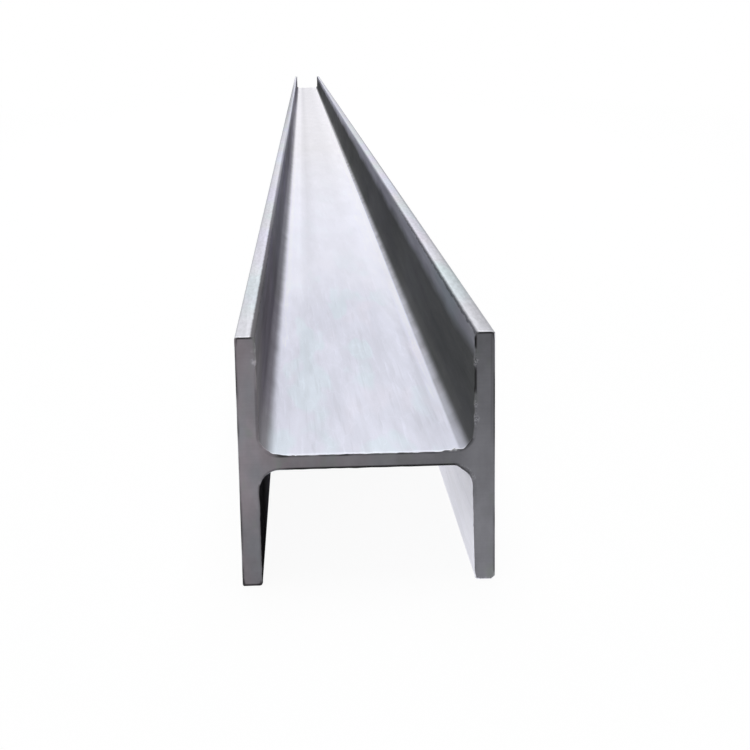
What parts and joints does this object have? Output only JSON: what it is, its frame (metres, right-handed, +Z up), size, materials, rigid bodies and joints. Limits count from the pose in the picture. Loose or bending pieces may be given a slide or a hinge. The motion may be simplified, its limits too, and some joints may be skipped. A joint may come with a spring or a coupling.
{
  "type": "steel h-beam",
  "caption": "Hot-rolled steel H-section beam with wide parallel flanges and filleted web roots, sawn square to a stock length and lying on its flange tips.",
  "frame": {"origin": "on the floor under the middle of the beam: midway along it, midway between the flanges", "axes": "+Y along the beam, +X across the web from flange to flange, +Z up; the flanges stand upright and the web lies level"},
  "size_m": [0.1, 6, 0.1],
  "materials": {
    "mill_steel": "pale grey mill finish with faint lengthwise rolling streaks, sawn ends"
  },
  "bodies": {
    "root": {"h_beam": "mill_steel"}
  },
  "joints": []
}
